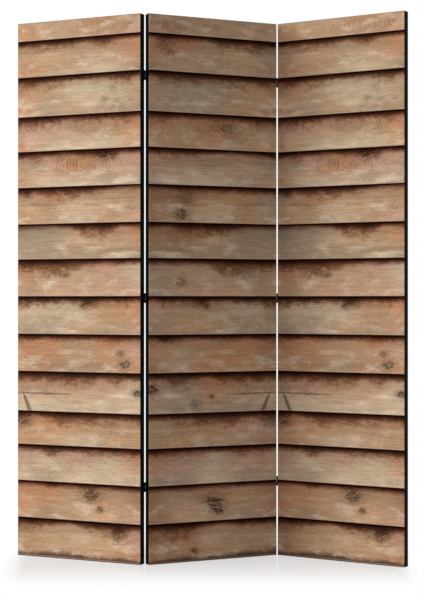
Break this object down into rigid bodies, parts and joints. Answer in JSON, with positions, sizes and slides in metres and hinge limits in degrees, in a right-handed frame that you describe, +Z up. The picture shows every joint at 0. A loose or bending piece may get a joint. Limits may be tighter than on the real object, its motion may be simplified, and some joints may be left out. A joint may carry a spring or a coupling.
{
  "type": "folding screen",
  "caption": "Tall folding screen of flat panels printed with weathered boards. It stands in a zigzag to divide a room, and folds flat either way on double-acting hinges.",
  "frame": {"origin": "on the floor, in the middle of the standing screen's footprint", "axes": "+Z up, +X along the screen to the viewer's right, -Y towards the viewer, who faces the print"},
  "size_m": [1.2364, 0.263, 1.72],
  "materials": {
    "pine_frame": "planed, unvarnished",
    "dowel_wood": "smooth, unvarnished",
    "printed_canvas": "matt print of weathered boards",
    "black_cloth": "matt woven",
    "black_tape": "matt woven tape",
    "staple_wire": "bright wire",
    "hinge_steel": "satin black",
    "pin_steel": "satin black",
    "screw_steel": "satin black"
  },
  "bodies": {
    "middle_panel": {"middle_panel_left_stile": "pine_frame", "middle_panel_right_stile": "pine_frame", "middle_panel_bottom_rail": "pine_frame", "middle_panel_lower_rail": "pine_frame", "middle_panel_upper_rail": "pine_frame", "middle_panel_top_rail": "pine_frame", "middle_panel_dowels": "dowel_wood", "middle_panel_print_canvas": "printed_canvas", "middle_panel_back_cloth": "black_cloth", "middle_panel_staples": "staple_wire", "middle_panel_edge_tape": "black_tape", "left_fold_back_pins": "pin_steel", "left_fold_back_leaf_screws": "screw_steel", "left_fold_bottom_hinge_back_leaf": "hinge_steel", "left_fold_middle_hinge_back_leaf": "hinge_steel", "left_fold_top_hinge_back_leaf": "hinge_steel", "right_fold_front_pins": "pin_steel", "right_fold_front_leaf_screws": "screw_steel", "right_fold_bottom_hinge_front_leaf": "hinge_steel", "right_fold_middle_hinge_front_leaf": "hinge_steel", "right_fold_top_hinge_front_leaf": "hinge_steel"},
    "left_links": {"left_fold_bottom_hinge_link": "hinge_steel", "left_fold_middle_hinge_link": "hinge_steel", "left_fold_top_hinge_link": "hinge_steel"},
    "left_panel": {"left_panel_left_stile": "pine_frame", "left_panel_right_stile": "pine_frame", "left_panel_bottom_rail": "pine_frame", "left_panel_lower_rail": "pine_frame", "left_panel_upper_rail": "pine_frame", "left_panel_top_rail": "pine_frame", "left_panel_dowels": "dowel_wood", "left_panel_print_canvas": "printed_canvas", "left_panel_back_cloth": "black_cloth", "left_panel_staples": "staple_wire", "left_panel_edge_tape": "black_tape", "left_fold_front_pins": "pin_steel", "left_fold_front_leaf_screws": "screw_steel", "left_fold_bottom_hinge_front_leaf": "hinge_steel", "left_fold_middle_hinge_front_leaf": "hinge_steel", "left_fold_top_hinge_front_leaf": "hinge_steel"},
    "right_links": {"right_fold_bottom_hinge_link": "hinge_steel", "right_fold_middle_hinge_link": "hinge_steel", "right_fold_top_hinge_link": "hinge_steel"},
    "right_panel": {"right_panel_left_stile": "pine_frame", "right_panel_right_stile": "pine_frame", "right_panel_bottom_rail": "pine_frame", "right_panel_lower_rail": "pine_frame", "right_panel_upper_rail": "pine_frame", "right_panel_top_rail": "pine_frame", "right_panel_dowels": "dowel_wood", "right_panel_print_canvas": "printed_canvas", "right_panel_back_cloth": "black_cloth", "right_panel_staples": "staple_wire", "right_panel_edge_tape": "black_tape", "right_fold_back_pins": "pin_steel", "right_fold_back_leaf_screws": "screw_steel", "right_fold_bottom_hinge_back_leaf": "hinge_steel", "right_fold_middle_hinge_back_leaf": "hinge_steel", "right_fold_top_hinge_back_leaf": "hinge_steel"}
  },
  "joints": [
    {"name": "left_fold_back", "type": "hinge", "parent": "middle_panel", "child": "left_links", "pos_m": [-0.19945, -0.06321, 0.86], "axis": [0, 0, -1], "range_deg": [-51, 129]},
    {"name": "left_fold_front", "type": "hinge", "parent": "left_links", "child": "left_panel", "pos_m": [-0.21151, -0.08848, 0.86], "axis": [0, 0, 1], "range_deg": [0, 90]},
    {"name": "right_fold_front", "type": "hinge", "parent": "middle_panel", "child": "right_links", "pos_m": [0.22147, 0.10654, 0.86], "axis": [0, 0, -1], "range_deg": [-57.5, 122.5]},
    {"name": "right_fold_back", "type": "hinge", "parent": "right_links", "child": "right_panel", "pos_m": [0.23631, 0.13029, 0.86], "axis": [0, 0, 1], "range_deg": [0, 90]}
  ]
}
